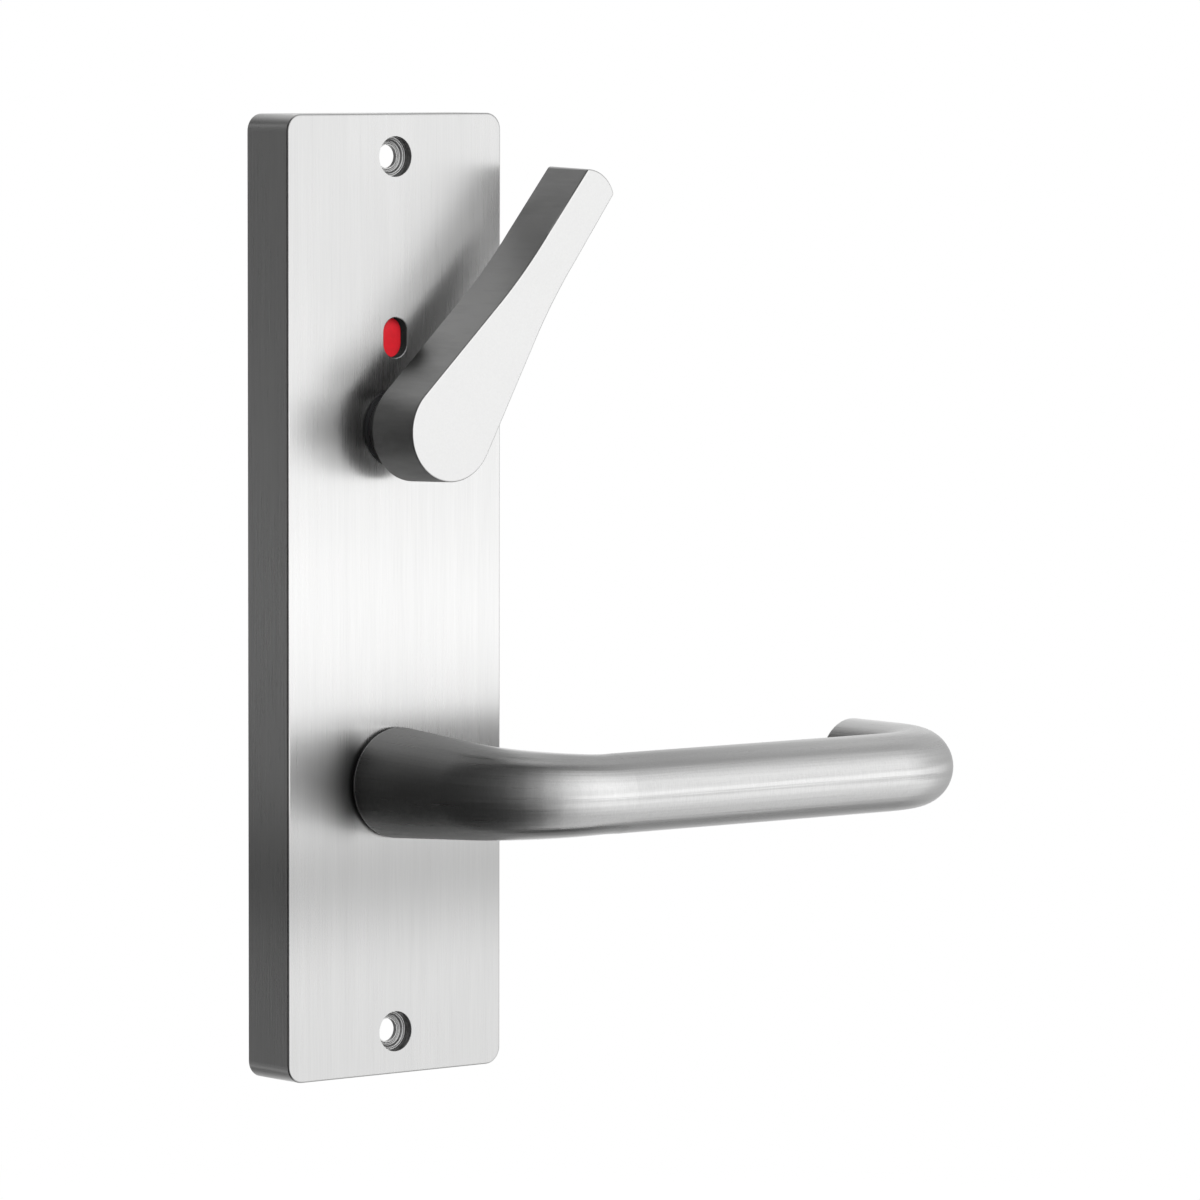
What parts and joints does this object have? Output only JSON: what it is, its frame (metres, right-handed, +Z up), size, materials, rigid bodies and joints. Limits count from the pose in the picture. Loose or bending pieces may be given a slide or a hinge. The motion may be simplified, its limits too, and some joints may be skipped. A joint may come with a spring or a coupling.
{
  "type": "lever handle on backplate",
  "caption": "Round-bar lever with a return end and a teardrop privacy turn on an upright hollow backplate, with a red indicator window and stepped screw holes.",
  "frame": {"origin": "centre of the backplate's back face, midway between its two screw holes", "axes": "+X right along the lever, +Y into the door, +Z up the plate"},
  "size_m": [0.1675, 0.1074, 0.225],
  "materials": {
    "plate_steel": "fine upright brushing",
    "lever_steel": "satin, brushed along the bar",
    "turn_steel": "satin",
    "bush_nylon": "moulded",
    "carrier_nylon": "moulded",
    "spring_steel": "oiled wire",
    "plated_steel": "zinc plated",
    "dark_steel": "phosphated",
    "red_paint": "satin",
    "green_paint": "satin",
    "rivet_aluminium": "headed"
  },
  "bodies": {
    "plate_body": {"backplate": "plate_steel", "lever_bush": "bush_nylon", "turn_bush": "bush_nylon", "stop_pins": "plated_steel", "return_spring": "spring_steel"},
    "lever_body": {"lever_handle": "lever_steel", "lever_spindle": "plated_steel", "spindle_pin": "plated_steel", "lever_washer": "bush_nylon", "drive_plate": "plated_steel", "lever_circlip": "dark_steel"},
    "turn_body": {"turn_handle": "turn_steel", "turn_tail": "plated_steel", "tail_pin": "plated_steel", "indicator_carrier": "carrier_nylon", "red_flag": "red_paint", "green_flag": "green_paint", "flag_rivets": "rivet_aluminium", "turn_washer": "bush_nylon", "spring_washer": "spring_steel", "turn_circlip": "dark_steel"}
  },
  "joints": [
    {"name": "lever_hinge", "type": "hinge", "parent": "plate_body", "child": "lever_body", "pos_m": [0, 0, -0.0438], "axis": [0, 1, 0], "range_deg": [0, 40], "stiffness_Nm_per_rad": 0.8, "springref_deg": -42.97, "deforming": ["return_spring"]},
    {"name": "turn_hinge", "type": "hinge", "parent": "plate_body", "child": "turn_body", "pos_m": [0, 0, 0.0393], "axis": [0, 1, 0], "range_deg": [-75.2, 0]}
  ]
}
